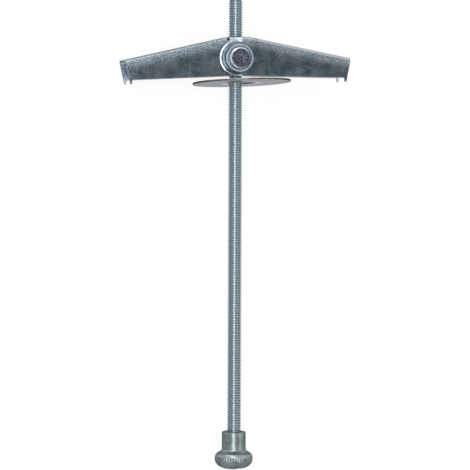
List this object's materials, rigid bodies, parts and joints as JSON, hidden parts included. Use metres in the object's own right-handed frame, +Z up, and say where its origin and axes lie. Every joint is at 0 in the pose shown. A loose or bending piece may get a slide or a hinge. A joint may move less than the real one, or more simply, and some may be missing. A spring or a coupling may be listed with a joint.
{
  "type": "spring toggle anchor",
  "caption": "Spring toggle anchor: two folding sheet wings on a cross nut, a long threaded rod, a wide washer and a knurled slotted sleeve nut.",
  "frame": {"origin": "middle of the foot of the box round the anchor as it lies on a flat surface", "axes": "+Y along the rod towards its free end, +X along the right wing, +Z up from the surface it lies on"},
  "size_m": [0.0636, 0.1308, 0.0275],
  "materials": {
    "plated_rod": "blue zinc plate, satin",
    "plated_nut": "blue zinc plate, satin",
    "plated_sheet": "blue zinc plate, mottled",
    "spring_wire": "drawn wire",
    "plated_washer": "zinc plate, satin",
    "turned_nut": "zinc plate, turned"
  },
  "bodies": {
    "rod": {"threaded_rod": "plated_rod"},
    "head": {"trunnion_nut": "plated_nut", "torsion_spring": "spring_wire"},
    "right_wing": {"right_wing": "plated_sheet"},
    "left_wing": {"left_wing": "plated_sheet"},
    "washer": {"large_washer": "plated_washer"},
    "knob": {"knob_nut": "turned_nut"}
  },
  "joints": [
    {"name": "head_travel", "type": "slide", "parent": "rod", "child": "head", "axis": [0, 0.9972, 0.0748], "range_m": [-0.06, 0.012]},
    {"name": "wing_fold", "type": "hinge", "parent": "head", "child": "right_wing", "pos_m": [-0.00001, 0.04917, 0.01374], "axis": [0.2823, 0.0718, -0.9566], "range_deg": [0, 78], "stiffness_Nm_per_rad": 0.004, "springref_deg": -34.38, "deforming": ["torsion_spring"]},
    {"name": "left_wing_fold", "type": "hinge", "parent": "head", "child": "left_wing", "pos_m": [-0.00001, 0.04917, 0.01374], "axis": [-0.2823, -0.0718, 0.9566], "range_deg": [0, 78]},
    {"name": "washer_slide", "type": "slide", "parent": "head", "child": "washer", "axis": [0, -0.9972, -0.0748], "range_m": [0, 0.0353]},
    {"name": "knob_turn", "type": "hinge", "parent": "rod", "child": "knob", "pos_m": [-0.00001, -0.05488, 0.00593], "axis": [0, 0.9972, 0.0748], "continuous": true}
  ],
  "couplings": [
    {"joint": "wing_fold", "follows": "washer_slide", "rad_per_m": 38.46},
    {"joint": "left_wing_fold", "follows": "washer_slide", "rad_per_m": 38.46}
  ]
}
